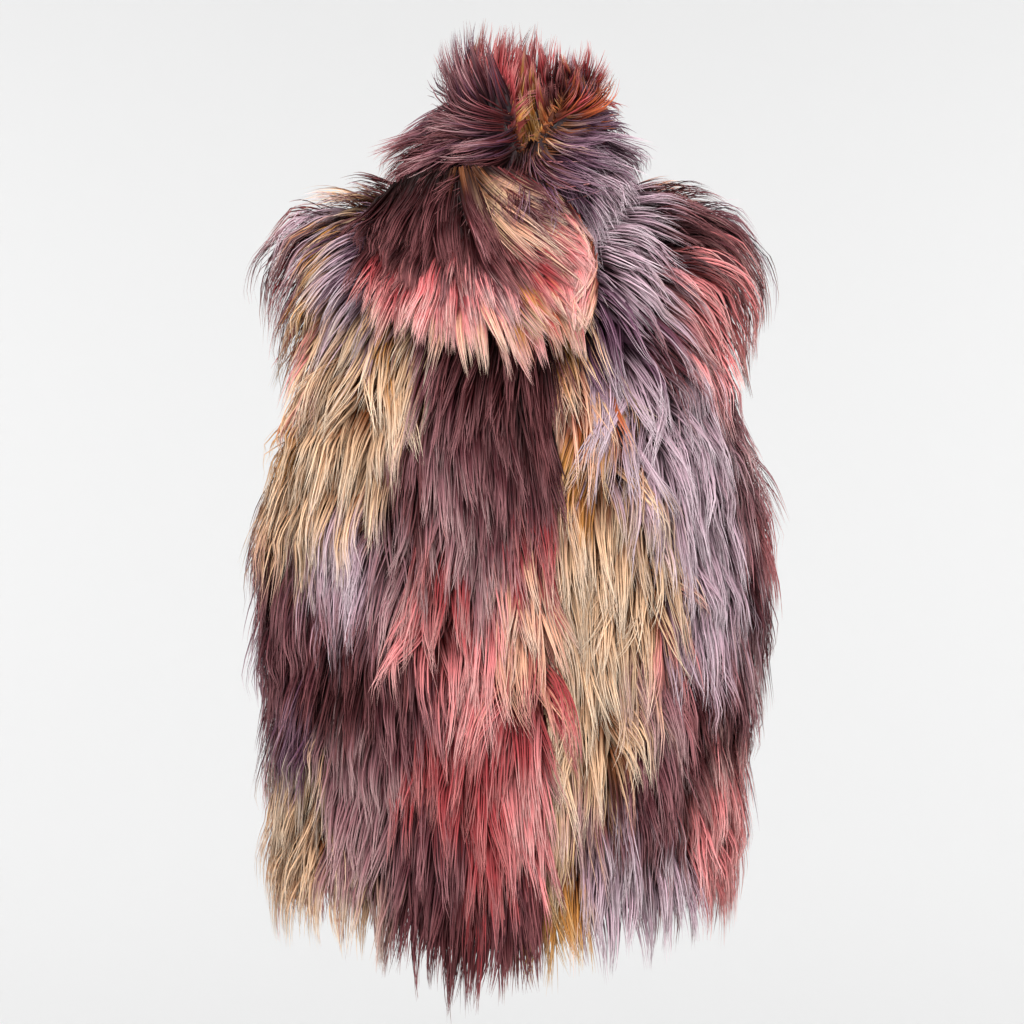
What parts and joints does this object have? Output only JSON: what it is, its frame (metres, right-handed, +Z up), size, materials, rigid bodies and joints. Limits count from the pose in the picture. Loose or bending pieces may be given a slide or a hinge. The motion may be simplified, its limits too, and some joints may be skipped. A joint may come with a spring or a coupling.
{
  "type": "faux_fur_vest",
  "caption": "Sleeveless long-pile faux fur vest, filled out as worn, with a standing collar, a tab wrapped over the throat and lapped fronts; the pile is dyed in plum, beige, lavender and rose blotches.",
  "frame": {"origin": "Midway between the two neck points of the shoulder seams, level with them, where the shoulders carry the vest.", "axes": "+Z up along the standing wearer. -Y the way the fronts face. +X the wearer's left."},
  "size_m": [0.464, 0.3124, 0.8344],
  "materials": {
    "back_pile": "long silky acrylic pile, plum and lavender dye blotches",
    "right_front_pile": "long silky acrylic pile, wine and beige dye blotches",
    "left_front_pile": "long silky acrylic pile, lavender and beige dye blotches",
    "collar_pile": "long silky acrylic pile, mauve dye",
    "collar_inside_pile": "acrylic pile, rust dye",
    "tab_pile": "long silky acrylic pile, rose to beige dye"
  },
  "bodies": {
    "root": {"back": "back_pile", "front_right": "right_front_pile", "front_left": "left_front_pile", "collar_outer": "collar_pile", "collar_inner": "collar_inside_pile", "neck_tab": "tab_pile"}
  },
  "joints": []
}
